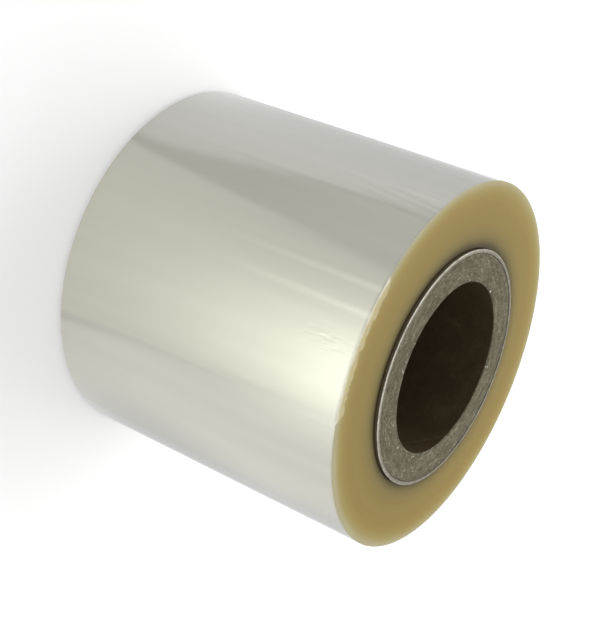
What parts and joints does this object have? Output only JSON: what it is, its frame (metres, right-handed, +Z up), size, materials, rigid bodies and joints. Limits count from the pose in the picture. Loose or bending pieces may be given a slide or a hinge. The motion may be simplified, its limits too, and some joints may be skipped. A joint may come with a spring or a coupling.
{
  "type": "roll of tray sealing film",
  "caption": "Roll of clear heat-sealing film for food trays, wound tight on a thick spiral-wound paper tube that stands a little out of the film at both ends.",
  "frame": {"origin": "centre of the roll's lower end, on the axis of the tube's bore, at the lowest point", "axes": "+Z up along the bore's axis; +Y towards the side where the film's free end lies"},
  "size_m": [0.162, 0.162, 0.1462],
  "materials": {
    "tube_board": "raw grey-brown recycled board, matt",
    "film": "clear glossy film, pearl grey in many layers, honey tan at the slit edges"
  },
  "bodies": {
    "root": {"paper_tube": "tube_board", "wound_film": "film"}
  },
  "joints": []
}
